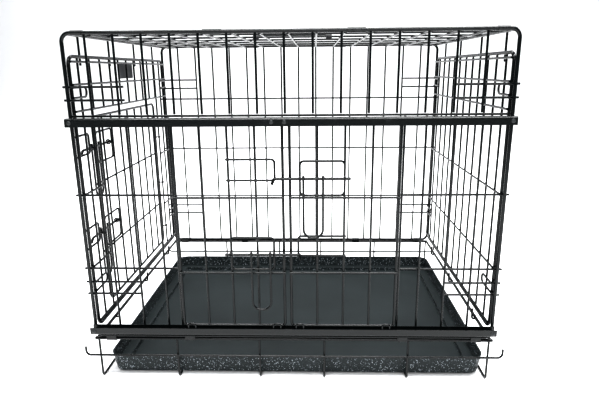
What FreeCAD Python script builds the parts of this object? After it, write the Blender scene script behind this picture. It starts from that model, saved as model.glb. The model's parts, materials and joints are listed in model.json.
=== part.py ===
import FreeCAD, Part
import math
import os

# Folding wire dog crate. Origin at the centre of the footprint on the floor.
# X runs along the long front, the front faces -Y and +Z is up. Millimetres.

# Overall sizes
crate_width = 610.0
crate_depth = 460.0
crate_height = 521.0

# Wire stock
frame_radius = 2.5
wire_radius = 1.6
stile_radius = 2.0
weld_gap = 0.05
touching = 1e-5
body_gap = 0.3
wire_pitch = 38.1
frame_bend = 12.0

# Front and back panels
panel_bottom = 73.0
upper_pair_drops = (73.0, 91.0)
lower_pair_heights = (160.0, 141.0)
upper_cross_drop = 100.0
lower_cross_height = 182.0
pair_overhang = 5.0
pair_spaces = 2
upper_zone_shift = 5.0
upper_wire_clearance = 1.0
doorway_clearance = 1.5
least_fixed_space = 20.0
panel_end_room = 30.0

# Slide rails
rail_height = 11.5
rail_depth = 12.5
rail_wall = 0.9
rail_round = 3.0
lower_rail_bottom = 81.0
upper_rail_drop = 126.0
rivet_head_radius = 3.0
rivet_rim_height = 0.5
rivet_dome_height = 1.1
rivet_inset = 6.0
stop_rivets = (-23.0, -5.5)

# Sliding leaves
leaf_spaces = 4
leaf_meeting = -4.0
leaf_gap = 10.0
leaf_bend = 5.0
leaf_bottom_clearance = 1.5
leaf_top_clearance = 1.6
glide_inset = 12.0
glide_width = 11.0
glide_depth = 9.0
glide_bend = 4.0
glide_clearance = 0.5

# Latches
bracket_offset = 19.0
bracket_length = 62.0
bracket_height = 48.5
bracket_below_bolt = 25.0
bracket_bend = 6.0
bracket_seam = 0.02
bolt_radius = 2.0
bolt_reach = 16.0
bolt_tail = 8.0
bolt_hook_drop = 8.0
bolt_hook_run = 4.0
bolt_hook_out = 2.0
bolt_bend = 3.0
eye_wire = 1.2
handle_inset = 5.0
handle_width = 27.0
handle_drop = 84.0
handle_rise = 5.0
handle_bend = 12.0
keeper_length = 68.0
keeper_rise = 26.0
keeper_drop = 3.5
keeper_bend = 5.0
bracket_clearance = 0.3
latch_spacing = 111.0

# Base
tray_end_gap = 9.0
tray_front_gap = 10.0
tray_shift = 4.0
tray_height = 28.0
tray_wall = 2.0
tray_taper = 5.0
tray_corner = 22.0
least_tray_corner = 2.0
tray_step_height = 6.0
tray_step_width = 16.0
skirt_rail_height = 40.0
post_places = (50.0, 178.0)
outer_post_gap = 1.0
post_bend = 6.0
hook_reach = 16.0
hook_rise = 14.0
hook_bend = 7.0

# Side panels
side_top_drop = 32.0
side_bottom = 84.0
side_end_gap = 14.0
side_set_in = 0.25
pivot_set_in = 0.5
upper_cross_drops = (39.0, 70.0)
over_door_rise = 13.0
side_middle_crosses = (295.0, 183.0)
low_cross_rise = 10.0
outer_loop_inset = 46.0
inner_loop_place = 60.0
loop_tail = 12.0
loop_tip = 1.0
outer_foot_inset = 66.0
foot_clearance = 0.5
foot_toe = 4.0
foot_bend = 4.0
upper_hook_drop = 81.0
lower_hook_height = 151.0
side_hook_length = 42.0
side_hook_spread = 14.0
side_hook_clearance = 1.25
side_end_room = 20.0
side_hook_roundness = 0.49

# Side door
side_strip = 64.0
door_bottom = 97.0
door_top_drop = 120.0
door_opening_clearance = 6.0
door_face_gap = 0.5
side_bolt_drop = 49.0
side_latch_spacing = 140.0
side_meeting_gap = 3.0
low_hinge_rise = 33.0
high_hinge_drop = 71.0
hinge_tail_lap = 0.4

# Small fittings
clip_wall = 0.8
clip_length = 24.0
short_clip_length = 15.0
top_clip_inset = 23.5
top_clip_wires = (-3, 2)
top_clip_from_wire = 14.3
bottom_clip_inset = 26.0
front_clip_offsets = (10.4, 9.6)
back_clip_wire = 3
back_clip_from_wire = 18.7
plate_length = 70.0
plate_height = 27.0
plate_thick = 1.2
plate_middle = 5.0
plate_drop = 65.0
plate_corner = 3.0
grip_length = 110.0
grip_width = 20.0
grip_thick = 9.0
grip_round = 3.5
handle_arm = 30.0
arm_lap = 3.0
arm_thick = 3.5
arm_round = 1.2
handle_pivot_spaces = 2
eyelet_radius = 4.2
eyelet_length = 9.0
eyelet_lap = 1.0

# Worked-out sizes and places
half_width = crate_width / 2
half_depth = crate_depth / 2
tray_length = crate_width - 2 * tray_end_gap
tray_depth = crate_depth - 2 * tray_front_gap
pair_heights = tuple(crate_height - drop for drop in upper_pair_drops) + lower_pair_heights
upper_rail_bottom = crate_height - upper_rail_drop
cross_heights = (upper_rail_bottom - upper_cross_drop, lower_cross_height)
upper_bracket_low = cross_heights[0] + 2 * wire_radius + bracket_clearance
upper_bolt_height = upper_bracket_low + bracket_below_bolt
lower_bolt_height = upper_bolt_height - latch_spacing
rivet_head_height = rivet_rim_height + rivet_dome_height
stile_x = half_width - frame_radius
frame_y = half_depth - frame_radius
top_wire_z = crate_height - frame_radius
cross_layer = frame_radius + wire_radius + weld_gap
vertical_layer = frame_radius - wire_radius
rail_back = half_depth + 2 * weld_gap
rail_front = rail_back + rail_depth
glide_front = rail_front - rail_wall - glide_clearance
leaf_y = glide_front - 2 * wire_radius - weld_gap - stile_radius
leaf_face = leaf_y + stile_radius
leaf_bottom = lower_rail_bottom + rail_height + leaf_bottom_clearance + stile_radius
leaf_top = upper_rail_bottom + rail_height - rail_wall - leaf_top_clearance - stile_radius
base_top = panel_bottom - 2 * frame_radius - 2 * weld_gap
side_x = stile_x - side_set_in
side_pivot_x = stile_x - pivot_set_in
side_top = crate_height - side_top_drop
side_half_depth = half_depth - side_end_gap
door_half_width = side_half_depth - side_strip
door_top = crate_height - door_top_drop
side_meeting = -door_half_width - side_meeting_gap
hang_radius = frame_radius + wire_radius + body_gap
side_inner_x = side_x - cross_layer
side_face = side_x + frame_radius
door_x = side_face + stile_radius + door_face_gap
door_face = door_x + stile_radius


def vec(point):
    return FreeCAD.Vector(*point)


def rod(start, end, radius):
    """A straight length of round wire."""
    a = vec(start)
    run = vec(end) - a
    return Part.makeCylinder(radius, run.Length, a, run)


def rounded_path(points, bend):
    """Straight runs through the points, joined by arcs tangent to both."""
    corners = [vec(p) for p in points]
    edges = []
    here = corners[0]
    for before, corner, after in zip(corners, corners[1:], corners[2:]):
        back = (before - corner).normalize()
        ahead = (after - corner).normalize()
        half = back.getAngle(ahead) / 2
        cut = bend / math.tan(half)
        first = corner + back * cut
        last = corner + ahead * cut
        middle_way = (back + ahead).normalize()
        middle = corner + middle_way * (bend / math.sin(half) - bend)
        if (first - here).Length > touching:
            edges.append(Part.makeLine(here, first))
        edges.append(Part.Arc(first, middle, last).toShape())
        here = last
    if (corners[-1] - here).Length > touching:
        edges.append(Part.makeLine(here, corners[-1]))
    return edges


def bent(points, bend, radius):
    """One bent wire that follows the points."""
    edges = rounded_path(points, bend)
    start = vec(points[0])
    run = vec(points[1]) - start
    section = Part.Wire([Part.makeCircle(radius, start, run)])
    return Part.Wire(edges).makePipeShell([section], True, True)


def ring(centre, axis, middle_radius, radius):
    """A closed wire eye."""
    return Part.makeTorus(middle_radius, radius, vec(centre), vec(axis))


def frame_ring(low, high, place, bend, radius):
    """Four straight wires and four quarter bends; place maps (across, up) to a point."""
    left, bottom = low
    right, top = high
    solids = [
        rod(place(left + bend, bottom), place(right - bend, bottom), radius),
        rod(place(left + bend, top), place(right - bend, top), radius),
        rod(place(left, bottom + bend), place(left, top - bend), radius),
        rod(place(right, bottom + bend), place(right, top - bend), radius),
    ]
    for across, up, side, rise in (
        (left, bottom, 1, 1),
        (right, bottom, -1, 1),
        (right, top, -1, -1),
        (left, top, 1, -1),
    ):
        start = place(across + side * bend, up)
        corner = place(across, up)
        end = place(across, up + rise * bend)
        solids.append(bent([start, corner, end], bend, radius))
    return solids


def save(name, solids):
    shape = Part.makeCompound(solids) if len(solids) > 1 else solids[0]
    shape.exportStep("parts/" + name + ".step")


# ---------------------------------------------------------------- front and back panels


def panel_place(front):
    """Maps (across, up) onto the front or back panel's frame plane."""
    y = -frame_y if front else frame_y
    return lambda across, up: (across, y, up)


def layer_y(front, inward):
    y = -(frame_y - inward)
    return y if front else -y


def panel_frame(front):
    return frame_ring(
        (-stile_x, panel_bottom), (stile_x, top_wire_z), panel_place(front), frame_bend, frame_radius
    )


def panel_vertical(front, x, low, high):
    y = layer_y(front, vertical_layer)
    return rod((x, y, low), (x, y, high), wire_radius)


def upright_span():
    low = panel_bottom + frame_radius + weld_gap
    high = top_wire_z - frame_radius - weld_gap
    return low, high


def spaced(opening, end_room):
    """The wire places that fit across an opening, one pitch apart, centred on zero."""
    count = int((opening - 2 * end_room) / wire_pitch) + 1
    return [(i - (count - 1) / 2) * wire_pitch for i in range(count)]


def panel_places():
    """The uprights of the back panel and the cross wires of the top."""
    return spaced(2 * stile_x, panel_end_room)


def pair_wires(front, heights):
    y = layer_y(front, cross_layer)
    reach = pair_spaces * wire_pitch
    solids = []
    for z in heights:
        for side in (-1, 1):
            outer = side * (stile_x + frame_radius + pair_overhang)
            inner = side * (stile_x - reach)
            solids.append(rod((outer, y, z), (inner, y, z), wire_radius))
    return solids


def doorway_edge():
    """The fixed stile beside each leaf, as a distance from the meeting line."""
    return leaf_gap / 2 + leaf_spaces * wire_pitch + 2 * stile_radius + doorway_clearance


def fixed_zone_wires(side):
    """Fixed uprights on one side of the doorway, below the upper rail."""
    low, high = upright_span()
    edge = leaf_meeting + side * doorway_edge()
    solids = [panel_vertical(True, edge, low, upper_rail_bottom + rail_height)]
    across = stile_x - wire_pitch
    while across > side * edge + least_fixed_space:
        solids.append(panel_vertical(True, side * across, low, upper_rail_bottom + rail_height))
        across -= wire_pitch
    return solids


def upper_zone_wires():
    low = upper_rail_bottom + rail_height + 2 * wire_radius + upper_wire_clearance
    high = upright_span()[1]
    return [panel_vertical(True, x - upper_zone_shift, low, high) for x in panel_places()]


def front_cross_wires():
    """Short wires across each fixed zone and long ones above and below the doorway."""
    y = layer_y(True, cross_layer)
    solids = []
    for z in cross_heights:
        for side in (-1, 1):
            edge = leaf_meeting + side * (doorway_edge() - wire_radius)
            outer = side * (stile_x + frame_radius + pair_overhang)
            solids.append(rod((outer, y, z), (edge, y, z), wire_radius))
    over_rail = upper_rail_bottom + rail_height + wire_radius
    under_door = lower_rail_bottom + rail_height / 2
    for z in (over_rail, under_door):
        solids.append(rod((-half_width, y, z), (half_width, y, z), wire_radius))
    return solids


def back_cross_wires():
    y = layer_y(False, cross_layer)
    heights = cross_heights + (upper_rail_bottom + rail_height,)
    reach = stile_x + frame_radius + pair_overhang
    return [rod((-reach, y, z), (reach, y, z), wire_radius) for z in heights]


def channel_block(width, depth, height, round_radius, start, round_at_top):
    """A long block whose two edges along its closed side are rounded."""
    block = Part.makeBox(width, depth, height, FreeCAD.Vector(*start))
    level = start[2] + height if round_at_top else start[2]
    rounded = []
    for edge in block.Edges:
        box = edge.BoundBox
        along = box.XLength > width / 2
        if along and abs(box.ZMin - level) < touching and abs(box.ZMax - level) < touching:
            rounded.append(edge)
    return block.makeFillet(round_radius, rounded)


def rail(bottom, opens_up):
    """A sheet-steel channel with rounded corners: two walls, two corners and a web."""
    past = 1.0
    outer_start = (-half_width, -rail_front, bottom)
    outer = channel_block(crate_width, rail_depth, rail_height, rail_round, outer_start, not opens_up)
    hollow_bottom = bottom + rail_wall if opens_up else bottom - past
    hollow = channel_block(
        crate_width + 2 * past,
        rail_depth - 2 * rail_wall,
        rail_height - rail_wall + past,
        rail_round - rail_wall,
        (-half_width - past, -rail_front + rail_wall, hollow_bottom),
        not opens_up,
    )
    channel = outer.cut(hollow)
    if opens_up:
        wall_low, corner_low = bottom + rail_round, bottom
    else:
        wall_low, corner_low = bottom, bottom + rail_height - rail_round
    wall_high = rail_height - rail_round
    middle = rail_depth - 2 * rail_round
    parts = []
    for y, depth, z, height in (
        (-rail_front, rail_round, wall_low, wall_high),
        (-rail_front, rail_round, corner_low, rail_round),
        (-rail_front + rail_round, middle, corner_low, rail_round),
        (-rail_back - rail_round, rail_round, corner_low, rail_round),
        (-rail_back - rail_round, rail_round, wall_low, wall_high),
    ):
        block = Part.makeBox(crate_width, depth, height, FreeCAD.Vector(-half_width, y, z))
        parts += channel.common(block).Solids
    return parts


def rivet(x, bottom):
    """A domed rivet head on a low rim, on a rail's front face."""
    z = bottom + rail_height / 2
    seat = -rail_front - weld_gap
    shoulder = seat - rivet_rim_height
    crown = seat - rivet_head_height
    ball_radius = (rivet_head_radius**2 + rivet_dome_height**2) / (2 * rivet_dome_height)
    halfway = math.asin(rivet_head_radius / ball_radius) / 2
    centre = FreeCAD.Vector(x, seat, z)
    edge = FreeCAD.Vector(x + rivet_head_radius, shoulder, z)
    bulge_y = crown + ball_radius * (1 - math.cos(halfway))
    bulge = FreeCAD.Vector(x + ball_radius * math.sin(halfway), bulge_y, z)
    tip = FreeCAD.Vector(x, crown, z)
    foot = FreeCAD.Vector(x + rivet_head_radius, seat, z)
    profile = [
        Part.makeLine(centre, foot),
        Part.makeLine(foot, edge),
        Part.Arc(edge, bulge, tip).toShape(),
        Part.makeLine(tip, centre),
    ]
    return Part.Face(Part.Wire(profile)).revolve(centre, FreeCAD.Vector(0, 1, 0), 360)


def rail_rivets():
    places = [-half_width + rivet_inset, half_width - rivet_inset]
    solids = [rivet(x, lower_rail_bottom) for x in places]
    solids += [rivet(x, upper_rail_bottom) for x in places + list(stop_rivets)]
    return solids


# ---------------------------------------------------------------- sliding leaves


def leaf_range(side):
    """The leaf's inner and outer stile places."""
    inner = leaf_meeting + side * leaf_gap / 2
    return inner, inner + side * leaf_spaces * wire_pitch


def leaf_frame(side):
    ends = leaf_range(side)
    place = lambda across, up: (across, -leaf_y, up)
    return frame_ring((min(ends), leaf_bottom), (max(ends), leaf_top), place, leaf_bend, stile_radius)


def leaf_wires(side):
    """Three uprights and two cross wires."""
    inner, outer = leaf_range(side)
    y = -(leaf_face - wire_radius)
    low = leaf_bottom + stile_radius + weld_gap
    high = leaf_top - stile_radius - weld_gap
    solids = []
    for step in range(1, leaf_spaces):
        x = inner + side * step * wire_pitch
        solids.append(rod((x, y, low), (x, y, high), wire_radius))
    y = -(leaf_face + wire_radius + weld_gap)
    start = inner - side * stile_radius
    end = outer + side * stile_radius
    for z in cross_heights:
        solids.append(rod((start, y, z), (end, y, z), wire_radius))
    return solids


def leaf_glides(side):
    """Small staples over the bottom wire that run in the lower rail."""
    y = -(leaf_face + wire_radius + weld_gap)
    top = leaf_bottom + stile_radius + wire_radius
    foot = leaf_bottom - glide_depth
    solids = []
    inner, outer = leaf_range(side)
    for x in (inner + side * glide_inset, outer - side * glide_inset):
        left = x - glide_width / 2
        right = x + glide_width / 2
        path = [(left, y, foot), (left, y, top), (right, y, top), (right, y, foot)]
        solids.append(bent(path, glide_bend, wire_radius))
    return solids


# ---------------------------------------------------------------- slide-bolt latches


def latch_layers(face):
    """How far out the bracket wire and the bolt run from the face that carries them."""
    layer = face + wire_radius + weld_gap
    bolt_out = layer + wire_radius + weld_gap + 2 * eye_wire + bolt_radius + body_gap
    return layer, bolt_out


def latch_bracket(at, face, height):
    """A bent wire welded to the moving side, with two eyes that the bolt runs in."""
    layer, bolt_out = latch_layers(face)
    near = bracket_offset
    far = bracket_offset + bracket_length
    low = height - bracket_below_bolt
    high = low + bracket_height
    middle = (near + far) / 2
    path = [
        at(middle, layer, low),
        at(far, layer, low),
        at(far, layer, high),
        at(near, layer, high),
        at(near, layer, low),
        at(middle - bracket_seam, layer, low),
    ]
    along = vec(at(1, 0, 0)) - vec(at(0, 0, 0))
    solids = [bent(path, bracket_bend, wire_radius)]
    for place in (near, far):
        eye_middle = bolt_radius + body_gap + eye_wire
        solids.append(ring(at(place, bolt_out, height), along, eye_middle, eye_wire))
    return solids


def latch_bolt(at, face, height):
    """The round bolt, with its tip bent down and out behind the keeper."""
    bolt_out = latch_layers(face)[1]
    path = [
        at(bracket_offset + bracket_length + bolt_tail, bolt_out, height),
        at(-bolt_reach, bolt_out, height),
        at(-bolt_reach - bolt_hook_run, bolt_out + bolt_hook_out, height - bolt_hook_drop),
    ]
    return [bent(path, bolt_bend, bolt_radius)]


def latch_handle(at, face, height):
    """The long hairpin that hangs from the bolt."""
    out = latch_layers(face)[1] + bolt_radius + body_gap + wire_radius
    first = bracket_offset + handle_inset
    second = first + handle_width
    path = [
        at(first, out, height + handle_rise),
        at(first, out, height - handle_drop),
        at(second, out, height - handle_drop),
        at(second, out, height + handle_rise),
    ]
    return [bent(path, handle_bend, wire_radius)]


def latch_keeper(at, face, height, reach):
    """The bent wire on the other side that the bolt's tip drops behind."""
    out = face + wire_radius + weld_gap
    end = -bolt_reach - reach
    path = [
        at(end, out, height + keeper_rise),
        at(-bolt_reach, out, height + keeper_rise),
        at(-bolt_reach, out, height - keeper_drop),
        at(end, out, height - keeper_drop),
    ]
    return [bent(path, keeper_bend, wire_radius)]


def front_place(side):
    return lambda along, out, up: (leaf_meeting + side * along, -out, up)


def side_place(along, out, up):
    return (-out, side_meeting + along, up)


# ---------------------------------------------------------------- base


def base_floor_wires():
    """Wires under the tray, one behind each skirt post."""
    solids = []
    for x in base_wire_places():
        y = frame_y - post_bend
        solids.append(rod((x, -y, wire_radius), (x, y, wire_radius), wire_radius))
    return solids


def base_wire_places():
    outer = half_width - frame_radius - wire_radius - outer_post_gap
    places = list(post_places) + [outer]
    return [-p for p in reversed(places)] + places


def base_skirt(front):
    """Posts bent up from the floor wires, with two rails across them."""
    side = -1 if front else 1
    y = side * frame_y
    solids = []
    for x in base_wire_places():
        path = [
            (x, y - side * post_bend, wire_radius),
            (x, y, wire_radius),
            (x, y, base_top - frame_radius - weld_gap),
        ]
        solids.append(bent(path, post_bend, wire_radius))
    lap = side * (frame_y + 2 * wire_radius + weld_gap)
    for rail_y, z, radius in ((y, base_top, frame_radius), (lap, skirt_rail_height, wire_radius)):
        solids.append(rod((-half_width, rail_y, z), (half_width, rail_y, z), radius))
    return solids


def base_side_wires():
    y = frame_y - frame_radius - weld_gap
    solids = []
    for x in (-side_pivot_x, side_pivot_x):
        solids.append(rod((x, -y, base_top), (x, y, base_top), frame_radius))
    return solids


def base_corner_hooks():
    """Upturned ends of the skirt rails at the four corners."""
    solids = []
    for sx in (-1, 1):
        for sy in (-1, 1):
            y = sy * (frame_y + 2 * wire_radius + weld_gap)
            start = sx * (half_width + weld_gap)
            tip = sx * (half_width + hook_reach)
            z = skirt_rail_height
            path = [(start, y, z), (tip, y, z), (tip, y, z + hook_rise)]
            solids.append(bent(path, hook_bend, wire_radius))
    return solids


def tray_block(shrink, low, high):
    """A round-cornered block that widens towards its rim."""
    wires = []
    for z in (low, high):
        share = z / tray_height
        inset = shrink + tray_taper * (1 - share)
        length = tray_length - 2 * inset
        depth = tray_depth - 2 * inset
        corner = max(tray_corner - inset, least_tray_corner)
        wires.append(tray_outline(length, depth, corner, z + tray_floor()))
    return Part.makeLoft(wires, True)


def tray_floor():
    return 2 * wire_radius + body_gap


def tray_outline(length, depth, corner, z):
    x = length / 2
    y = depth / 2
    edges = []
    for sx, sy, start in ((1, 1, 0), (-1, 1, 90), (-1, -1, 180), (1, -1, 270)):
        centre = FreeCAD.Vector(tray_shift + sx * (x - corner), sy * (y - corner), z)
        edges.append(Part.makeCircle(corner, centre, FreeCAD.Vector(0, 0, 1), start, start + 90))
    joined = []
    for edge, following in zip(edges, edges[1:] + edges[:1]):
        joined.append(edge)
        joined.append(Part.makeLine(edge.lastVertex(True).Point, following.firstVertex(True).Point))
    return Part.Wire(joined)


def tray():
    """A vacuum-formed plastic tray with a raised step inside its walls."""
    outer = tray_block(0, 0, tray_height)
    upper = tray_block(tray_wall, tray_step_height + tray_wall, tray_height + 1)
    lower = tray_block(tray_wall + tray_step_width, tray_wall, tray_step_height + tray_wall)
    return outer.cut(upper).cut(lower)


# ---------------------------------------------------------------- top panel


def top_front_y():
    return frame_y - 2 * frame_radius - 2 * weld_gap


def top_frame():
    place = lambda across, along: (across, along, top_wire_z)
    y = top_front_y()
    return frame_ring((-side_pivot_x, -y), (side_pivot_x, y), place, frame_bend, frame_radius)


def top_long_wires():
    z = crate_height - wire_radius
    x = side_pivot_x - frame_radius - weld_gap
    return [rod((-x, y, z), (x, y, z), wire_radius) for y in top_long_places()]


def top_long_places():
    """Every second pitch either way from the middle, as far as the frame lets them."""
    step = 2 * wire_pitch
    count = int((top_front_y() - frame_radius) / step)
    return [i * step for i in range(-count, count + 1)]


def top_cross_wires():
    z = crate_height - 3 * wire_radius - weld_gap
    y = top_front_y() - frame_radius - weld_gap
    return [rod((x, -y, z), (x, y, z), wire_radius) for x in panel_places()]


def sleeve(x, y, z, along_y, radius, reach):
    """Two round tubes and the flat between them, round two frame wires."""
    apart = frame_radius + weld_gap
    start = x - reach / 2
    across = apart if along_y else 0
    above = 0 if along_y else apart
    along = FreeCAD.Vector(1, 0, 0)
    ends = [
        Part.makeCylinder(radius, reach, FreeCAD.Vector(start, y + s * across, z + s * above), along)
        for s in (-1, 1)
    ]
    if along_y:
        slab = Part.makeBox(reach, 2 * apart, 2 * radius, FreeCAD.Vector(start, y - apart, z - radius))
    else:
        slab = Part.makeBox(reach, 2 * radius, 2 * apart, FreeCAD.Vector(start, y - radius, z - apart))
    return ends[0].fuse(ends[1]).fuse(slab).removeSplitter()


def clip(x, y, z, along_y, length):
    """A rolled sheet sleeve round two neighbouring frame wires."""
    inner = frame_radius + weld_gap
    past = 2.0
    outside = sleeve(x, y, z, along_y, inner + clip_wall, length)
    return outside.cut(sleeve(x, y, z, along_y, inner, length + past))


def clip_places(inset, inner_places):
    outer = half_width - inset
    return [-outer] + inner_places + [outer]


def top_inner_clips():
    """Beside a wire near each third of the width, clear of the next one."""
    wires = panel_places()
    return [wires[len(wires) // 2 + k] + top_clip_from_wire for k in top_clip_wires]


def bottom_inner_clips(front):
    """Beside the doorway's fixed stiles in front, and between two uprights behind."""
    if front:
        left, right = (leaf_meeting + side * doorway_edge() for side in (-1, 1))
        return [left + front_clip_offsets[0], right + front_clip_offsets[1]]
    wires = panel_places()
    place = wires[len(wires) // 2 + back_clip_wire] + back_clip_from_wire
    return [-place, place]


def hinge_clips(front):
    side = -1 if front else 1
    solids = []
    y = side * (frame_y + top_front_y()) / 2
    inner_places = top_inner_clips()
    for x in clip_places(top_clip_inset, inner_places):
        length = clip_length if x in inner_places else short_clip_length
        solids.append(clip(x, y, top_wire_z, True, length))
    z = (panel_bottom + base_top) / 2
    for x in clip_places(bottom_clip_inset, bottom_inner_clips(front)):
        solids.append(clip(x, side * frame_y, z, False, short_clip_length))
    return solids


def long_edges(block, least):
    return [edge for edge in block.Edges if edge.BoundBox.XLength > least]


def carry_handle():
    """A moulded grip with two arms that turn on a top wire."""
    past = 1.0
    pivot_y = -handle_pivot_spaces * wire_pitch
    pivot_z = crate_height - wire_radius
    low = crate_height + body_gap
    grip_y = pivot_y + handle_arm
    along = FreeCAD.Vector(1, 0, 0)
    wires = panel_places()
    middle_x = wires[len(wires) // 2]
    corner = FreeCAD.Vector(middle_x - grip_length / 2, grip_y - grip_width / 2, low)
    grip = Part.makeBox(grip_length, grip_width, grip_thick, corner)
    body = grip.makeFillet(grip_round, long_edges(grip, grip_length / 2))
    for side in (-1, 1):
        x = middle_x + side * (grip_length / 2 + eyelet_length / 2 - eyelet_lap) - eyelet_length / 2
        pivot = FreeCAD.Vector(x, pivot_y, pivot_z)
        eyelet = Part.makeCylinder(eyelet_radius, eyelet_length, pivot, along)
        reach = handle_arm + grip_width / 2 - arm_lap
        arm = Part.makeBox(eyelet_length, reach, arm_thick, FreeCAD.Vector(x, pivot_y, low))
        arm = arm.makeFillet(arm_round, long_edges(arm, eyelet_length / 2))
        body = body.fuse(eyelet).fuse(arm)
        bore_start = FreeCAD.Vector(x - past, pivot_y, pivot_z)
        bore = Part.makeCylinder(wire_radius + body_gap, eyelet_length + 2 * past, bore_start, along)
        body = body.cut(bore)
    return body.removeSplitter()


# ---------------------------------------------------------------- side panels


def side_panel_place(side):
    return lambda across, up: (side * side_x, across, up)


def side_frame(side):
    low = (-side_half_depth, side_bottom)
    high = (side_half_depth, side_top)
    return frame_ring(low, high, side_panel_place(side), frame_bend, frame_radius)


def side_upright(side, y, low, high):
    x = side * (side_x - vertical_layer)
    return rod((x, y, low), (x, y, high), wire_radius)


def side_cross_heights():
    """From the top down: two near the top, one over the door, two beside it and one low."""
    upper = [crate_height - drop for drop in upper_cross_drops]
    return upper + [door_top + over_door_rise] + list(side_middle_crosses) + [side_bottom + low_cross_rise]


def side_upright_span():
    return side_bottom + frame_radius + weld_gap, side_top - frame_radius - weld_gap


def right_side_wires():
    low, high = side_upright_span()
    return [side_upright(1, y, low, high) for y in spaced(2 * side_half_depth, side_end_room)]


def side_cross(side, start, end, z):
    x = side * side_inner_x
    return rod((x, start, z), (x, end, z), wire_radius)


def right_side_cross_wires():
    reach = side_half_depth + frame_radius
    return [side_cross(1, -reach, reach, z) for z in side_cross_heights()]


def door_stile():
    return door_half_width + door_opening_clearance


def left_side_wires():
    """Uprights beside the doorway and short ones above it."""
    low, high = side_upright_span()
    solids = []
    for y in spaced(2 * side_half_depth, side_end_room):
        beside = abs(y) > door_stile()
        foot = low if beside else door_top + over_door_rise - wire_radius
        solids.append(side_upright(-1, y, foot, high))
    for y in (-door_stile(), door_stile()):
        solids.append(side_upright(-1, y, low, high))
    return solids


def left_side_cross_wires():
    reach = side_half_depth + frame_radius
    solids = []
    for z in side_cross_heights():
        if door_bottom < z < door_top:
            for s in (-1, 1):
                solids.append(side_cross(-1, s * reach, s * (door_stile() - 2 * wire_radius), z))
        else:
            solids.append(side_cross(-1, -reach, reach, z))
    return solids


def hang_loops(side):
    """Hooked wires that hang the panel from the top panel's side wire."""
    x = side * (side_pivot_x + hang_radius)
    inner = side * (side_pivot_x - hang_radius)
    top = top_wire_z + hang_radius
    solids = []
    outer_place = side_half_depth - outer_loop_inset
    for y in (-outer_place, -inner_loop_place, inner_loop_place, outer_place):
        path = [
            (x, y, side_top - loop_tail),
            (x, y, top),
            (inner, y, top),
            (inner, y, top_wire_z - loop_tip),
        ]
        solids.append(bent(path, hang_radius, wire_radius))
    return solids


def side_hooks(side):
    """D-shaped corner hooks and the feet that hold the base's side wire."""
    solids = []
    x = side * side_inner_x
    for edge in (-1, 1):
        for z in (crate_height - upper_hook_drop, lower_hook_height):
            tip = edge * (frame_y - cross_layer - wire_radius - side_hook_clearance)
            back = tip - edge * side_hook_length
            up = z + side_hook_spread / 2
            down = z - side_hook_spread / 2
            path = [(x, tip, up), (x, back, up), (x, back, down), (x, tip, down)]
            solids.append(bent(path, side_hook_spread * side_hook_roundness, wire_radius))
    leg = side * (side_pivot_x - frame_radius - wire_radius - foot_clearance)
    under = base_top - frame_radius - wire_radius - foot_clearance
    outer_foot = side_half_depth - outer_foot_inset
    for y in (-outer_foot, 0.0, outer_foot):
        path = [
            (leg, y, side_bottom - frame_radius - weld_gap),
            (leg, y, under),
            (side * (side_pivot_x + foot_toe), y, under),
        ]
        solids.append(bent(path, foot_bend, wire_radius))
    return solids


def side_door_frame():
    place = lambda across, up: (-door_x, across, up)
    return frame_ring(
        (-door_half_width, door_bottom), (door_half_width, door_top), place, frame_bend, stile_radius
    )


def side_door_wires():
    solids = []
    x = -(door_face - wire_radius)
    low = door_bottom + stile_radius + weld_gap
    high = door_top - stile_radius - weld_gap
    for y in spaced(2 * door_half_width, side_end_room):
        solids.append(rod((x, y, low), (x, y, high), wire_radius))
    x = -(door_face + wire_radius + weld_gap)
    reach = door_half_width + stile_radius
    for z in cross_heights:
        solids.append(rod((x, -reach, z), (x, reach, z), wire_radius))
    return solids


def door_hinge_loops():
    """Eyes on the door that turn on the panel's rear doorway stile."""
    solids = []
    x = -(side_x - vertical_layer)
    y = door_stile()
    middle = wire_radius + body_gap + eye_wire
    lowest = door_bottom + low_hinge_rise
    highest = door_top - high_hinge_drop
    for z in (lowest, (lowest + highest) / 2, highest):
        eye = ring((x, y, z), (0, 0, 1), middle, eye_wire)
        tail_y = door_half_width + stile_radius + eye_wire - hinge_tail_lap
        tail = rod((x - middle, y, z), (-door_x, tail_y, z), eye_wire)
        solids.append(eye.fuse(tail))
    return solids


def blank_plate():
    """A flat plate outside the left panel, with nothing on it."""
    low = crate_height - plate_drop
    outer = -(side_face + plate_thick) - weld_gap
    corner = FreeCAD.Vector(outer, plate_middle - plate_length / 2, low)
    plate = Part.makeBox(plate_thick, plate_length, plate_height, corner)
    return plate.makeFillet(plate_corner, long_edges(plate, plate_thick / 2))


# ---------------------------------------------------------------- the crate


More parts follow.
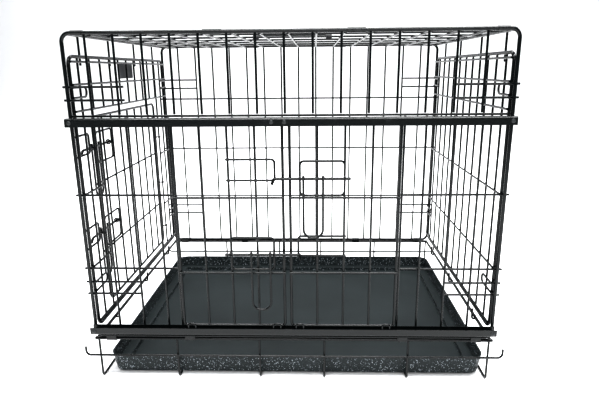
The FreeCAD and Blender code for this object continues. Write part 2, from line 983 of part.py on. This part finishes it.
def build():
    os.makedirs("parts", exist_ok=True)
    save("base_floor_wires", base_floor_wires())
    save("base_front_skirt", base_skirt(True))
    save("base_back_skirt", base_skirt(False))
    save("base_side_wires", base_side_wires())
    save("base_corner_hooks", base_corner_hooks())
    save("tray", [tray()])
    save("front_frame", panel_frame(True))
    save("front_upper_wires", upper_zone_wires())
    save("front_left_wires", fixed_zone_wires(-1))
    save("front_right_wires", fixed_zone_wires(1))
    save("front_cross_wires", front_cross_wires())
    save("front_corner_pairs", pair_wires(True, pair_heights))
    save("upper_rail", rail(upper_rail_bottom, False))
    save("lower_rail", rail(lower_rail_bottom, True))
    save("rail_rivets", rail_rivets())
    save("back_frame", panel_frame(False))
    save("back_wires", [panel_vertical(False, x, *upright_span()) for x in panel_places()])
    save("back_cross_wires", back_cross_wires() + pair_wires(False, pair_heights))
    save("top_frame", top_frame())
    save("top_long_wires", top_long_wires())
    save("top_cross_wires", top_cross_wires())
    save("front_hinge_clips", hinge_clips(True))
    save("back_hinge_clips", hinge_clips(False))
    save("carry_handle", [carry_handle()])
    for side, name in ((-1, "left"), (1, "right")):
        save(name + "_leaf_frame", leaf_frame(side))
        save(name + "_leaf_wires", leaf_wires(side))
        save(name + "_leaf_glides", leaf_glides(side))
        save(name + "_side_frame", side_frame(side))
        save(name + "_hang_loops", hang_loops(side))
        save(name + "_side_hooks", side_hooks(side))
    save("right_side_wires", right_side_wires())
    save("right_side_cross_wires", right_side_cross_wires())
    save("left_side_wires", left_side_wires())
    save("left_side_cross_wires", left_side_cross_wires())
    save("side_door_frame", side_door_frame())
    save("side_door_wires", side_door_wires())
    save("door_hinge_loops", door_hinge_loops())
    save("blank_plate", [blank_plate()])
    upper_side_bolt = door_top - side_bolt_drop
    lower_side_bolt = upper_side_bolt - side_latch_spacing
    side_reach = side_half_depth + frame_radius + side_meeting - bolt_reach
    latches = (
        ("upper", front_place(1), leaf_face, leaf_face, upper_bolt_height, keeper_length),
        ("lower", front_place(-1), leaf_face, leaf_face, lower_bolt_height, keeper_length),
        ("side_upper", side_place, door_face, side_face, upper_side_bolt, side_reach),
        ("side_lower", side_place, door_face, side_face, lower_side_bolt, side_reach),
    )
    for name, place, face, keeper_face, height, reach in latches:
        save(name + "_latch_bracket", latch_bracket(place, face, height))
        save(name + "_bolt", latch_bolt(place, face, height))
        save(name + "_bolt_handle", latch_handle(place, face, height))
        save(name + "_keeper", latch_keeper(place, keeper_face, height, reach))


build()
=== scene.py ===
import json
import math
import bmesh
import bpy
from mathutils import Matrix, Vector


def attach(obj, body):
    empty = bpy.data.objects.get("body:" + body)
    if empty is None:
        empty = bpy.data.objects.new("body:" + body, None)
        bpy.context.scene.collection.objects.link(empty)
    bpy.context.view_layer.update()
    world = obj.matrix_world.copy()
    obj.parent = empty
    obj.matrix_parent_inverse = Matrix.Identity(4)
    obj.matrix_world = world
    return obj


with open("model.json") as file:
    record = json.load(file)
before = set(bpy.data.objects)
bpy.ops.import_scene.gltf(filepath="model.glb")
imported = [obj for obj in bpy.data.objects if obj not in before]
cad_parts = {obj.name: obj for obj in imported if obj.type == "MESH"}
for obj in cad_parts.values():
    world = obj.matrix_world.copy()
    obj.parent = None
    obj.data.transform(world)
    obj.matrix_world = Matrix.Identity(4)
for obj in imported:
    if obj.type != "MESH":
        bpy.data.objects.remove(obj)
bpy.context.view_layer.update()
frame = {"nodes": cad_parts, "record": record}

nodes = frame["nodes"]

# ------------------------------------------------------------------ camera
# A compact camera held just under the height of the crate's top, a little right of
# its middle and tipped down, about 0.7 m in front of the sliding leaves.
eye = Vector((0.0358, -0.9219, 0.4693))
turn_left = 0.0306
tip_down = 0.2544
roll = -0.009
ahead = Vector(
    (-math.sin(turn_left) * math.cos(tip_down), math.cos(turn_left) * math.cos(tip_down), -math.sin(tip_down))
)
level_right = Vector((math.cos(turn_left), math.sin(turn_left), 0.0))
level_up = level_right.cross(ahead)
right = level_right * math.cos(roll) + level_up * math.sin(roll)
up = level_up * math.cos(roll) - level_right * math.sin(roll)
camera_data = bpy.data.cameras.new("camera")
camera_data.sensor_width = 36.0
camera_data.lens = 30.2
camera = bpy.data.objects.new("camera", camera_data)
camera.matrix_world = Matrix.Translation(eye) @ Matrix((right, up, -ahead)).transposed().to_4x4()
bpy.context.scene.collection.objects.link(camera)
bpy.context.scene.camera = camera

# ------------------------------------------------------------------ floor, backdrop and lights
# A plain white studio: a pale floor that curves up into a backdrop far behind, a long
# strip overhead, a wash of light on the floor behind and a low strip in front.


def link(tree, source, target):
    tree.links.new(source, target)


def principled(name):
    """A new material with its Principled shader."""
    material = bpy.data.materials.new(name)
    material.use_nodes = True
    return material, material.node_tree, material.node_tree.nodes["Principled BSDF"]


def build_floor():
    floor_half = 6.0
    backdrop_start = 3.2
    backdrop_radius = 1.2
    backdrop_height = 4.0
    curve_steps = 12
    profile = [(-floor_half, 0.0), (backdrop_start, 0.0)]
    for step in range(1, curve_steps + 1):
        angle = step / curve_steps * math.pi / 2
        profile.append(
            (backdrop_start + backdrop_radius * math.sin(angle), backdrop_radius * (1 - math.cos(angle)))
        )
    profile.append((backdrop_start + backdrop_radius, backdrop_height))
    vertices = []
    for y, z in profile:
        vertices += [(-floor_half, y, z), (floor_half, y, z)]
    faces = [(2 * i, 2 * i + 1, 2 * i + 3, 2 * i + 2) for i in range(len(profile) - 1)]
    mesh = bpy.data.meshes.new("studio_floor")
    mesh.from_pydata(vertices, [], faces)
    mesh.shade_smooth()
    floor = bpy.data.objects.new("studio_floor", mesh)
    bpy.context.scene.collection.objects.link(floor)
    material, tree, shader = principled("studio_white")
    shader.inputs["Base Color"].default_value = (0.95, 0.95, 0.955, 1.0)
    shader.inputs["Roughness"].default_value = 0.75
    mesh.materials.append(material)


def area_light(name, place, aim, width, height, power):
    data = bpy.data.lights.new(name, "AREA")
    data.shape = "RECTANGLE"
    data.size = width
    data.size_y = height
    data.energy = power
    light = bpy.data.objects.new(name, data)
    way = Vector(aim) - Vector(place)
    light.matrix_world = Matrix.Translation(place) @ way.to_track_quat("-Z", "Y").to_matrix().to_4x4()
    bpy.context.scene.collection.objects.link(light)


build_floor()
area_light("overhead_strip", (0.2, -0.9, 2.3), (0, 0, 0.2), width=2.6, height=0.4, power=120)
area_light("backdrop_wash", (0.0, 1.6, 2.6), (0, 1.6, 0.0), width=4.5, height=1.6, power=170)
area_light("front_strip", (0.1, -2.0, 1.35), (0, 0, 0.2), width=1.4, height=0.3, power=26)


def studio_world():
    """White to the eye, and a dim grey room to everything that mirrors or gathers light."""
    world = bpy.data.worlds.new("studio_world")
    world.use_nodes = True
    tree = world.node_tree
    seen = tree.nodes["Background"]
    seen.inputs["Color"].default_value = (1.0, 1.0, 1.0, 1.0)
    room = tree.nodes.new("ShaderNodeBackground")
    room.inputs["Color"].default_value = (0.92, 0.96, 1.0, 1.0)
    room.inputs["Strength"].default_value = 0.32
    path = tree.nodes.new("ShaderNodeLightPath")
    blend = tree.nodes.new("ShaderNodeMixShader")
    link(tree, path.outputs["Is Camera Ray"], blend.inputs["Fac"])
    link(tree, room.outputs["Background"], blend.inputs[1])
    link(tree, seen.outputs["Background"], blend.inputs[2])
    link(tree, blend.outputs["Shader"], tree.nodes["World Output"].inputs["Surface"])
    bpy.context.scene.world = world


studio_world()
bpy.context.scene.view_settings.view_transform = "Standard"
bpy.context.scene.view_settings.gamma = 0.68

# ------------------------------------------------------------------ welded wire
# Every panel is drawn steel wire, spot-welded where it crosses and dipped in a gloss
# black electrocoat. The coat is smooth with a faint orange peel, thin dust on what
# faces up, and small scattered rubs that are a little paler.


def group_socket(group, name, kind, way, value=None):
    socket = group.interface.new_socket(name=name, in_out=way, socket_type=kind)
    if value is not None:
        socket.default_value = value


def coat_group():
    """Mottle, peel and dust for a dipped coat: puts out colour, roughness and normal."""
    group = bpy.data.node_groups.new("dipped_coat", "ShaderNodeTree")
    group_socket(group, "Colour", "NodeSocketColor", "INPUT", (0.01, 0.014, 0.015, 1))
    group_socket(group, "Rub Colour", "NodeSocketColor", "INPUT", (0.02, 0.023, 0.024, 1))
    group_socket(group, "Dust Colour", "NodeSocketColor", "INPUT", (0.16, 0.16, 0.155, 1))
    group_socket(group, "Roughness", "NodeSocketFloat", "INPUT", 0.25)
    group_socket(group, "Dust", "NodeSocketFloat", "INPUT", 0.12)
    group_socket(group, "Peel Scale", "NodeSocketFloat", "INPUT", 900.0)
    group_socket(group, "Peel Depth", "NodeSocketFloat", "INPUT", 0.25)
    group_socket(group, "Colour", "NodeSocketColor", "OUTPUT")
    group_socket(group, "Roughness", "NodeSocketFloat", "OUTPUT")
    group_socket(group, "Normal", "NodeSocketVector", "OUTPUT")
    make = group.nodes.new
    inside = make("NodeGroupInput")
    outside = make("NodeGroupOutput")
    place = make("ShaderNodeTexCoord")
    mottle = make("ShaderNodeTexNoise")
    mottle.inputs["Scale"].default_value = 85.0
    mottle.inputs["Detail"].default_value = 6.0
    mottle.inputs["Roughness"].default_value = 0.62
    link(group, place.outputs["Object"], mottle.inputs["Vector"])
    rub = make("ShaderNodeMapRange")
    rub.inputs["From Min"].default_value = 0.62
    rub.inputs["From Max"].default_value = 0.78
    link(group, mottle.outputs["Fac"], rub.inputs["Value"])
    rubbed = make("ShaderNodeMix")
    rubbed.data_type = "RGBA"
    link(group, rub.outputs["Result"], rubbed.inputs["Factor"])
    link(group, inside.outputs["Colour"], rubbed.inputs["A"])
    link(group, inside.outputs["Rub Colour"], rubbed.inputs["B"])
    geometry = make("ShaderNodeNewGeometry")
    split = make("ShaderNodeSeparateXYZ")
    link(group, geometry.outputs["Normal"], split.inputs["Vector"])
    facing = make("ShaderNodeMapRange")
    facing.inputs["From Min"].default_value = 0.35
    facing.inputs["From Max"].default_value = 1.0
    link(group, split.outputs["Z"], facing.inputs["Value"])
    specks = make("ShaderNodeTexNoise")
    specks.inputs["Scale"].default_value = 420.0
    specks.inputs["Detail"].default_value = 3.0
    link(group, place.outputs["Object"], specks.inputs["Vector"])
    settled = make("ShaderNodeMath")
    settled.operation = "MULTIPLY"
    link(group, facing.outputs["Result"], settled.inputs[0])
    link(group, specks.outputs["Fac"], settled.inputs[1])
    amount = make("ShaderNodeMath")
    amount.operation = "MULTIPLY"
    link(group, settled.outputs["Value"], amount.inputs[0])
    link(group, inside.outputs["Dust"], amount.inputs[1])
    dusted = make("ShaderNodeMix")
    dusted.data_type = "RGBA"
    link(group, amount.outputs["Value"], dusted.inputs["Factor"])
    link(group, rubbed.outputs["Result"], dusted.inputs["A"])
    link(group, inside.outputs["Dust Colour"], dusted.inputs["B"])
    link(group, dusted.outputs["Result"], outside.inputs["Colour"])
    roughening = 0.16
    vary = make("ShaderNodeMath")
    vary.operation = "MULTIPLY_ADD"
    vary.inputs[1].default_value = roughening
    link(group, mottle.outputs["Fac"], vary.inputs[0])
    link(group, inside.outputs["Roughness"], vary.inputs[2])
    rougher = make("ShaderNodeMath")
    rougher.operation = "ADD"
    link(group, vary.outputs["Value"], rougher.inputs[0])
    link(group, amount.outputs["Value"], rougher.inputs[1])
    link(group, rougher.outputs["Value"], outside.inputs["Roughness"])
    peel = make("ShaderNodeTexNoise")
    peel.inputs["Detail"].default_value = 2.0
    link(group, inside.outputs["Peel Scale"], peel.inputs["Scale"])
    link(group, place.outputs["Object"], peel.inputs["Vector"])
    bump = make("ShaderNodeBump")
    bump.inputs["Distance"].default_value = 0.0003
    link(group, inside.outputs["Peel Depth"], bump.inputs["Strength"])
    link(group, peel.outputs["Fac"], bump.inputs["Height"])
    link(group, bump.outputs["Normal"], outside.inputs["Normal"])
    return group


dipped_coat = coat_group()


def coated_steel(name, colour, roughness, peel_scale, peel_depth, dust, coat_weight):
    material, tree, shader = principled(name)
    coat = tree.nodes.new("ShaderNodeGroup")
    coat.node_tree = dipped_coat
    coat.inputs["Colour"].default_value = colour
    coat.inputs["Roughness"].default_value = roughness
    coat.inputs["Peel Scale"].default_value = peel_scale
    coat.inputs["Peel Depth"].default_value = peel_depth
    coat.inputs["Dust"].default_value = dust
    link(tree, coat.outputs["Colour"], shader.inputs["Base Color"])
    link(tree, coat.outputs["Roughness"], shader.inputs["Roughness"])
    link(tree, coat.outputs["Normal"], shader.inputs["Normal"])
    shader.inputs["Specular IOR Level"].default_value = 0.5
    shader.inputs["Coat Weight"].default_value = coat_weight
    shader.inputs["Coat Roughness"].default_value = 0.14
    return material


wire_black = coated_steel(
    "wire_black",
    colour=(0.0022, 0.0042, 0.0046, 1),
    roughness=0.1,
    peel_scale=700.0,
    peel_depth=0.2,
    dust=0.05,
    coat_weight=0.0,
)


def finish_node(name, material):
    """Gives a CAD node its material, on every slot it has."""
    mesh = nodes[name].data
    mesh.materials.clear()
    mesh.materials.append(material)


plain_wire = [
    name
    for name in nodes
    if name.endswith(("_frame", "_wires", "_glides", "_loops", "_hooks", "_pairs", "_skirt"))
    or name.endswith(("_bracket", "_bolt", "_bolt_handle", "_keeper"))
]
for name in plain_wire:
    finish_node(name, wire_black)

# ------------------------------------------------------------------ spot welds
# Where two wires cross they are pressed together hot, and the coat pools round the
# joint. Each weld is a small round bead between the two wires.


def separate_wires(name):
    """The box of each separate wire in a node, from its joined-up triangles."""
    shape = bmesh.new()
    shape.from_mesh(nodes[name].data)
    bmesh.ops.remove_doubles(shape, verts=shape.verts, dist=1e-6)
    boxes = []
    seen = set()
    for start in shape.verts:
        if start in seen:
            continue
        seen.add(start)
        stack = [start]
        low = start.co.copy()
        high = start.co.copy()
        while stack:
            here = stack.pop()
            for axis in range(3):
                low[axis] = min(low[axis], here.co[axis])
                high[axis] = max(high[axis], here.co[axis])
            for edge in here.link_edges:
                other = edge.other_vert(here)
                if other not in seen:
                    seen.add(other)
                    stack.append(other)
        boxes.append((low, high))
    shape.free()
    return boxes


def straight_wires(names):
    """(middle, axis, half length, radius) of each straight wire in these nodes."""
    least_length = 0.02
    greatest_width = 0.0056
    roundness = 0.0004
    wires = []
    for name in names:
        for low, high in separate_wires(name):
            size = high - low
            axis = max(range(3), key=lambda k: size[k])
            others = [size[k] for k in range(3) if k != axis]
            is_long = size[axis] > least_length
            is_thin = max(others) < greatest_width
            is_round = max(others) - min(others) < roundness
            if is_long and is_thin and is_round:
                mean_radius = sum(others) / 4
                wires.append(((low + high) / 2, axis, size[axis] / 2, mean_radius))
    return wires


def weld_places(names):
    """Where two straight wires at right angles touch: the point midway between them."""
    reach = 0.00012
    wires = straight_wires(names)
    places = []
    for index, (middle, axis, half, radius) in enumerate(wires):
        for other_middle, other_axis, other_half, other_radius in wires[index + 1 :]:
            if other_axis == axis:
                continue
            across = 3 - axis - other_axis
            apart = abs(middle[across] - other_middle[across])
            if abs(apart - radius - other_radius) > reach:
                continue
            if abs(other_middle[axis] - middle[axis]) > half:
                continue
            if abs(other_middle[other_axis] - middle[other_axis]) > other_half:
                continue
            point = Vector((0, 0, 0))
            point[axis] = other_middle[axis]
            point[other_axis] = middle[other_axis]
            share = radius / (radius + other_radius)
            point[across] = middle[across] + (other_middle[across] - middle[across]) * share
            places.append(point)
    return places


def bead_tree():
    """Sets one bead on every point of the mesh that carries it."""
    tree = bpy.data.node_groups.new("weld_beads", "GeometryNodeTree")
    tree.interface.new_socket(name="Points", in_out="INPUT", socket_type="NodeSocketGeometry")
    tree.interface.new_socket(name="Bead Radius", in_out="INPUT", socket_type="NodeSocketFloat")
    tree.interface.new_socket(name="Seed", in_out="INPUT", socket_type="NodeSocketInt")
    tree.interface.new_socket(name="Coat", in_out="INPUT", socket_type="NodeSocketMaterial")
    tree.interface.new_socket(name="Beads", in_out="OUTPUT", socket_type="NodeSocketGeometry")
    make = tree.nodes.new
    inside = make("NodeGroupInput")
    outside = make("NodeGroupOutput")
    ball = make("GeometryNodeMeshIcoSphere")
    ball.inputs["Subdivisions"].default_value = 2
    link(tree, inside.outputs["Bead Radius"], ball.inputs["Radius"])
    to_points = make("GeometryNodeMeshToPoints")
    link(tree, inside.outputs["Points"], to_points.inputs["Mesh"])
    smallest_share = 0.88
    largest_share = 1.12
    sizes = make("FunctionNodeRandomValue")
    sizes.data_type = "FLOAT"
    sizes.inputs[2].default_value = smallest_share
    sizes.inputs[3].default_value = largest_share
    link(tree, inside.outputs["Seed"], sizes.inputs["Seed"])
    spread = make("GeometryNodeInstanceOnPoints")
    link(tree, to_points.outputs["Points"], spread.inputs["Points"])
    link(tree, ball.outputs["Mesh"], spread.inputs["Instance"])
    link(tree, sizes.outputs[1], spread.inputs["Scale"])
    real = make("GeometryNodeRealizeInstances")
    link(tree, spread.outputs["Instances"], real.inputs["Geometry"])
    smooth = make("GeometryNodeSetShadeSmooth")
    link(tree, real.outputs["Geometry"], smooth.inputs[0])
    paint = make("GeometryNodeSetMaterial")
    link(tree, smooth.outputs[0], paint.inputs["Geometry"])
    link(tree, inside.outputs["Coat"], paint.inputs["Material"])
    link(tree, paint.outputs["Geometry"], outside.inputs["Beads"])
    return tree


def run_tree(name, points, tree, values):
    """The plain mesh that a Geometry Nodes tree makes from some points."""
    carrier_mesh = bpy.data.meshes.new(name + "_points")
    carrier_mesh.from_pydata([tuple(p) for p in points], [], [])
    carrier = bpy.data.objects.new(name + "_carrier", carrier_mesh)
    bpy.context.scene.collection.objects.link(carrier)
    modifier = carrier.modifiers.new("tree", "NODES")
    modifier.node_group = tree
    sockets = {item.name: item.identifier for item in tree.interface.items_tree if item.in_out == "INPUT"}
    for key, value in values.items():
        modifier[sockets[key]] = value
    carrier.update_tag()
    bpy.context.view_layer.update()
    evaluated = carrier.evaluated_get(bpy.context.evaluated_depsgraph_get())
    mesh = bpy.data.meshes.new_from_object(evaluated)
    carrier.modifiers.clear()
    bpy.data.objects.remove(carrier)
    bpy.data.meshes.remove(carrier_mesh)
    mesh.name = name
    return mesh


def add_piece(name, mesh, body):
    piece = bpy.data.objects.new(name, mesh)
    bpy.context.scene.collection.objects.link(piece)
    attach(piece, body)


beads = bead_tree()
bead_radius = 0.0017
first_seed = 3
welded_bodies = ("crate", "left_leaf", "right_leaf", "left_side", "right_side", "side_door")
for seed, body in enumerate(welded_bodies, start=first_seed):
    members = frame["record"]["behaviour"]["bodies"][body]
    wired = [name for name in members if name.endswith(("_frame", "_wires", "_pairs", "_skirt"))]
    points = weld_places(wired)
    if points:
        values = {"Bead Radius": bead_radius, "Seed": seed, "Coat": wire_black}
        mesh = run_tree(body + "_welds", points, beads, values)
        add_piece(body + "_welds", mesh, body)

# ------------------------------------------------------------------ slide rails
# Two channels pressed from thin sheet steel, coated with the wire and riveted round
# the end wires of the front panel. Their rounded faces carry one long highlight.
sheet_black = coated_steel(
    "sheet_black",
    colour=(0.003, 0.005, 0.0052, 1),
    roughness=0.14,
    peel_scale=240.0,
    peel_depth=0.3,
    dust=0.06,
    coat_weight=0.15,
)
for name in ("upper_rail", "lower_rail"):
    finish_node(name, sheet_black)

# ------------------------------------------------------------------ rail rivets
# Domed steel rivets, set from the front and coated with the rails, but a little
# paler all over than they are.
rivet_black = coated_steel(
    "rivet_black",
    colour=(0.02, 0.024, 0.025, 1),
    roughness=0.3,
    peel_scale=500.0,
    peel_depth=0.3,
    dust=0.1,
    coat_weight=0.2,
)
finish_node("rail_rivets", rivet_black)

# ------------------------------------------------------------------ hinge clips
# Short sleeves of thin sheet rolled round two frame wires, so that the panels turn on
# each other. The shallow waist that the press leaves in a real one isn't modelled.
clip_black = coated_steel(
    "clip_black",
    colour=(0.004, 0.006, 0.0062, 1),
    roughness=0.2,
    peel_scale=320.0,
    peel_depth=0.4,
    dust=0.06,
    coat_weight=0.1,
)
for name in ("front_hinge_clips", "back_hinge_clips"):
    finish_node(name, clip_black)

# ------------------------------------------------------------------ tray
# One sheet of black polyethylene, vacuum formed. Its floor is a fine matt grain and its
# walls keep a hammered texture from the mould, with painted glints: a pale colour on
# scattered grain crowns that stands in for their highlights.


def hammered_plastic():
    """Matt grain on the floor; raised grains on the walls, some with pale painted glints in their colour."""
    material, tree, shader = principled("tray_black")
    make = tree.nodes.new
    place = make("ShaderNodeTexCoord")
    geometry = make("ShaderNodeNewGeometry")
    split = make("ShaderNodeSeparateXYZ")
    link(tree, geometry.outputs["Normal"], split.inputs["Vector"])
    wall = make("ShaderNodeMapRange")
    wall.inputs["From Min"].default_value = 0.98
    wall.inputs["From Max"].default_value = 0.75
    link(tree, split.outputs["Z"], wall.inputs["Value"])
    wander = make("ShaderNodeTexNoise")
    wander.inputs["Scale"].default_value = 9.0
    wander.inputs["Detail"].default_value = 4.0
    link(tree, place.outputs["Object"], wander.inputs["Vector"])
    tint = make("ShaderNodeValToRGB")
    tint.color_ramp.elements[0].position = 0.3
    tint.color_ramp.elements[0].color = (0.016, 0.022, 0.0235, 1)
    tint.color_ramp.elements[1].position = 0.75
    tint.color_ramp.elements[1].color = (0.025, 0.033, 0.035, 1)
    link(tree, wander.outputs["Fac"], tint.inputs["Fac"])
    grain = make("ShaderNodeTexVoronoi")
    grain.inputs["Scale"].default_value = 430.0
    grain.inputs["Randomness"].default_value = 1.0
    link(tree, place.outputs["Object"], grain.inputs["Vector"])
    glint = make("ShaderNodeMapRange")
    glint.inputs["From Min"].default_value = 0.36
    glint.inputs["From Max"].default_value = 0.14
    link(tree, grain.outputs["Distance"], glint.inputs["Value"])
    crowns = make("ShaderNodeTexNoise")
    crowns.inputs["Scale"].default_value = 260.0
    crowns.inputs["Detail"].default_value = 2.0
    link(tree, place.outputs["Object"], crowns.inputs["Vector"])
    chosen = make("ShaderNodeMapRange")
    chosen.inputs["From Min"].default_value = 0.47
    chosen.inputs["From Max"].default_value = 0.56
    link(tree, crowns.outputs["Fac"], chosen.inputs["Value"])
    bright = make("ShaderNodeMath")
    bright.operation = "MULTIPLY"
    link(tree, glint.outputs["Result"], bright.inputs[0])
    link(tree, chosen.outputs["Result"], bright.inputs[1])
    painted_glint_mask = make("ShaderNodeMath")
    painted_glint_mask.operation = "MULTIPLY"
    link(tree, bright.outputs["Value"], painted_glint_mask.inputs[0])
    link(tree, wall.outputs["Result"], painted_glint_mask.inputs[1])
    # Painted highlight: a pale colour mixed onto scattered wall grains stands in for their glints.
    painted_glints = make("ShaderNodeMix")
    painted_glints.data_type = "RGBA"
    painted_glints.inputs["B"].default_value = (0.8, 0.86, 0.92, 1)
    link(tree, painted_glint_mask.outputs["Value"], painted_glints.inputs["Factor"])
    link(tree, tint.outputs["Color"], painted_glints.inputs["A"])
    link(tree, painted_glints.outputs["Result"], shader.inputs["Base Color"])
    gloss = make("ShaderNodeMapRange")
    gloss.inputs["To Min"].default_value = 0.62
    gloss.inputs["To Max"].default_value = 0.3
    link(tree, wall.outputs["Result"], gloss.inputs["Value"])
    link(tree, gloss.outputs["Result"], shader.inputs["Roughness"])
    depth = make("ShaderNodeMapRange")
    depth.inputs["To Min"].default_value = 0.15
    depth.inputs["To Max"].default_value = 1.0
    link(tree, wall.outputs["Result"], depth.inputs["Value"])
    height = make("ShaderNodeMath")
    height.operation = "MULTIPLY"
    link(tree, glint.outputs["Result"], height.inputs[0])
    link(tree, depth.outputs["Result"], height.inputs[1])
    bump = make("ShaderNodeBump")
    bump.inputs["Strength"].default_value = 0.8
    bump.inputs["Distance"].default_value = 0.0008
    link(tree, height.outputs["Value"], bump.inputs["Height"])
    link(tree, bump.outputs["Normal"], shader.inputs["Normal"])
    shader.inputs["Specular IOR Level"].default_value = 0.3
    return material


finish_node("tray", hammered_plastic())

# ------------------------------------------------------------------ carry handle
# A moulded plastic grip with two arms that snap over a top wire; finely sparked, with
# a soft sheen.


def moulded_plastic(name, colour, roughness, grain_scale, grain_depth):
    darkest_share = 0.8
    palest_share = 1.25
    smoothest_less = 0.08
    roughest_more = 0.1
    material, tree, shader = principled(name)
    place = tree.nodes.new("ShaderNodeTexCoord")
    grain = tree.nodes.new("ShaderNodeTexNoise")
    grain.inputs["Scale"].default_value = grain_scale
    grain.inputs["Detail"].default_value = 5.0
    link(tree, place.outputs["Object"], grain.inputs["Vector"])
    tone = tree.nodes.new("ShaderNodeValToRGB")
    tone.color_ramp.elements[0].color = tuple(c * darkest_share for c in colour) + (1,)
    tone.color_ramp.elements[1].color = tuple(c * palest_share for c in colour) + (1,)
    link(tree, grain.outputs["Fac"], tone.inputs["Fac"])
    link(tree, tone.outputs["Color"], shader.inputs["Base Color"])
    rough = tree.nodes.new("ShaderNodeMapRange")
    rough.inputs["To Min"].default_value = roughness - smoothest_less
    rough.inputs["To Max"].default_value = roughness + roughest_more
    link(tree, grain.outputs["Fac"], rough.inputs["Value"])
    link(tree, rough.outputs["Result"], shader.inputs["Roughness"])
    bump = tree.nodes.new("ShaderNodeBump")
    bump.inputs["Strength"].default_value = grain_depth
    bump.inputs["Distance"].default_value = 0.0003
    link(tree, grain.outputs["Fac"], bump.inputs["Height"])
    link(tree, bump.outputs["Normal"], shader.inputs["Normal"])
    return material


grip_black = moulded_plastic(
    "grip_black",
    colour=(0.012, 0.013, 0.015),
    roughness=0.42,
    grain_scale=900.0,
    grain_depth=0.5,
)
finish_node("carry_handle", grip_black)

# ------------------------------------------------------------------ blank plate
# A small dark grey plastic plate, moulded flat and clipped to the outside of the left
# panel. Nothing is written on it.
plate_grey = moulded_plastic(
    "plate_grey",
    colour=(0.05, 0.054, 0.058),
    roughness=0.5,
    grain_scale=600.0,
    grain_depth=0.35,
)
finish_node("blank_plate", plate_grey)
